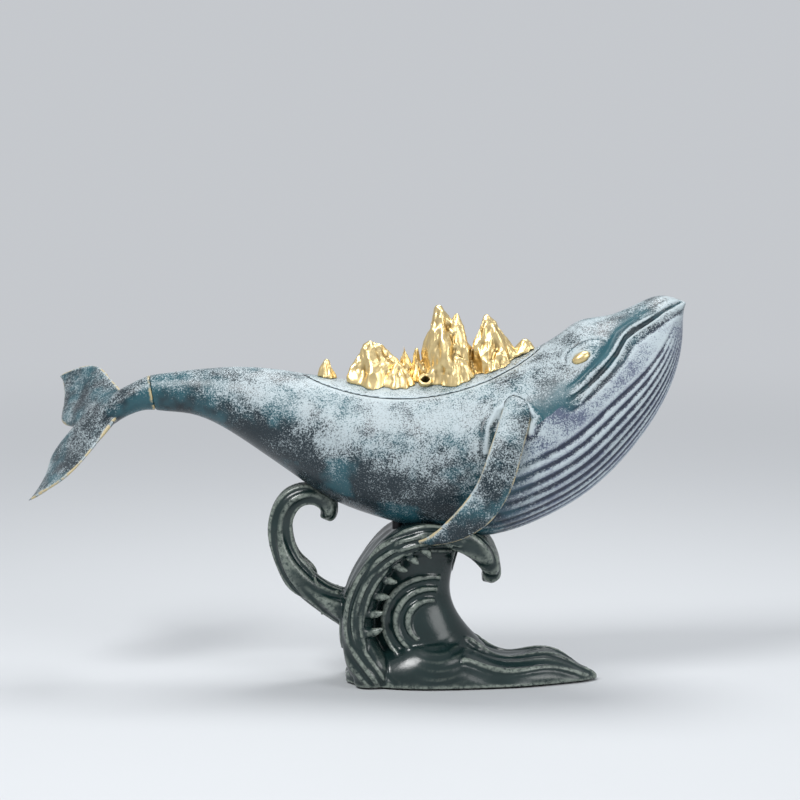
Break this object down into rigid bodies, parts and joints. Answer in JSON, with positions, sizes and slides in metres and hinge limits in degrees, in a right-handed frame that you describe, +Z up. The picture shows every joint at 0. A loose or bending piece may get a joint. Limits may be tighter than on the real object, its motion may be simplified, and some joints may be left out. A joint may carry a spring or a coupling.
{
  "type": "whale figurine",
  "caption": "Speckled whale riding a breaking wave, its mountain-topped back a lift-off lid over an incense chamber; a desk or shelf ornament.",
  "frame": {"origin": "on the floor, under the middle of the wave's foot", "axes": "+X to the snout, -Y to the pictured side, +Z up"},
  "size_m": [0.3857, 0.1229, 0.229],
  "materials": {
    "whale_skin": "cast resin, dark teal with white speckle, satin varnish",
    "eye_gold": "metallic gold paint",
    "gold_paint": "metallic pale gold paint over cast resin",
    "dowel_steel": "plain steel",
    "tray_steel": "brushed",
    "fibre": "pressed mineral fibre",
    "wave_resin": "cast resin, dark green-black gloss with pale dry-brushed ridges",
    "felt": "black felt"
  },
  "bodies": {
    "whale": {"whale_body": "whale_skin", "tail_fluke": "whale_skin", "right_flipper": "whale_skin", "left_flipper": "whale_skin", "right_eye": "eye_gold", "left_eye": "eye_gold", "tail_dowel": "dowel_steel", "right_flipper_dowel": "dowel_steel", "left_flipper_dowel": "dowel_steel", "rear_support_dowel": "dowel_steel", "front_support_dowel": "dowel_steel", "burner_tray": "tray_steel", "fibre_pad": "fibre", "wave_base": "wave_resin", "felt_pad": "felt"},
    "lid": {"back_lid": "whale_skin", "mountain_range": "gold_paint", "islet_peak": "gold_paint"}
  },
  "joints": [
    {"name": "lid_lift", "type": "slide", "parent": "whale", "child": "lid", "axis": [0, 0, 1], "range_m": [0, 0.06]}
  ]
}
